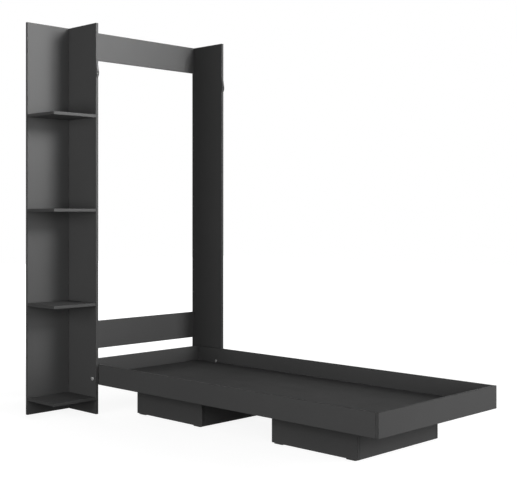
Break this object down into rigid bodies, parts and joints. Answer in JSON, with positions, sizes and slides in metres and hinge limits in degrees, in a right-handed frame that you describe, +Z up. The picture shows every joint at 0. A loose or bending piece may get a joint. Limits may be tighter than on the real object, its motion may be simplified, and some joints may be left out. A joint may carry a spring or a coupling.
{
  "type": "fold-away wall bed with corner shelves",
  "caption": "Single wall bed of dark laminated board: a shallow mattress tray on box plinths folds up between two side panels with rails, next to a full-height corner shelf column.",
  "frame": {"origin": "middle of the floor area that the bed covers when it is folded down, on the floor", "axes": "+X along the wall to the right, +Y towards the wall, +Z up. The tray's foot points to -Y."},
  "size_m": [1.2548, 2.144, 2.132],
  "materials": {
    "laminated_board": "matte anthracite melamine with a fine texture",
    "bright_steel": "bright zinc plated",
    "screw_steel": "zinc plated",
    "bush_nylon": "natural nylon",
    "glide_plastic": "black nylon",
    "catch_plastic": "moulded, fine grained"
  },
  "bodies": {
    "frame": {"side_panel_left": "laminated_board", "side_panel_right": "laminated_board", "shelf_back_panel": "laminated_board", "top_rail": "laminated_board", "lower_rail": "laminated_board", "shelf_1": "laminated_board", "shelf_2": "laminated_board", "shelf_3": "laminated_board", "shelf_4": "laminated_board", "rail_screw_left_1": "screw_steel", "rail_screw_left_2": "screw_steel", "rail_screw_left_3": "screw_steel", "rail_screw_left_4": "screw_steel", "rail_screw_right_1": "screw_steel", "rail_screw_right_2": "screw_steel", "rail_screw_right_3": "screw_steel", "rail_screw_right_4": "screw_steel", "shelf_side_screw_1": "screw_steel", "shelf_side_screw_2": "screw_steel", "shelf_side_screw_3": "screw_steel", "shelf_side_screw_4": "screw_steel", "shelf_rear_screw_1": "screw_steel", "shelf_rear_screw_2": "screw_steel", "shelf_rear_screw_3": "screw_steel", "shelf_rear_screw_4": "screw_steel", "back_panel_screw_1": "screw_steel", "back_panel_screw_2": "screw_steel", "back_panel_screw_3": "screw_steel", "back_panel_screw_4": "screw_steel", "pivot_bush_left": "bush_nylon", "pivot_bush_right": "bush_nylon", "catch_screw_left": "screw_steel", "catch_screw_right": "screw_steel"},
    "bed_tray": {"tray_side_board_left": "laminated_board", "tray_side_board_right": "laminated_board", "tray_head_board": "laminated_board", "tray_foot_board": "laminated_board", "tray_base_panel": "laminated_board", "head_plinth_left_board": "laminated_board", "head_plinth_right_board": "laminated_board", "head_plinth_front_board": "laminated_board", "head_plinth_back_board": "laminated_board", "foot_plinth_left_board": "laminated_board", "foot_plinth_right_board": "laminated_board", "foot_plinth_front_board": "laminated_board", "foot_plinth_back_board": "laminated_board", "head_plinth_glide_front_left": "glide_plastic", "head_plinth_glide_front_right": "glide_plastic", "head_plinth_glide_back_left": "glide_plastic", "head_plinth_glide_back_right": "glide_plastic", "foot_plinth_glide_front_left": "glide_plastic", "foot_plinth_glide_front_right": "glide_plastic", "foot_plinth_glide_back_left": "glide_plastic", "foot_plinth_glide_back_right": "glide_plastic", "pivot_bolt_left": "bright_steel", "pivot_bolt_right": "bright_steel", "pivot_nut_left": "bright_steel", "pivot_nut_right": "bright_steel"},
    "catch_left": {"catch_lever_left": "catch_plastic"},
    "catch_right": {"catch_lever_right": "catch_plastic"}
  },
  "joints": [
    {"name": "bed_fold", "type": "hinge", "parent": "frame", "child": "bed_tray", "pos_m": [0.13562, 0.84, 0.191], "axis": [-1, 0, 0], "range_deg": [0, 90]},
    {"name": "catch_left_turn", "type": "hinge", "parent": "frame", "child": "catch_left", "pos_m": [-0.34437, 0.808, 1.856], "axis": [0, 1, 0], "range_deg": [0, 90]},
    {"name": "catch_right_turn", "type": "hinge", "parent": "frame", "child": "catch_right", "pos_m": [0.61562, 0.808, 1.856], "axis": [0, -1, 0], "range_deg": [0, 90]}
  ]
}
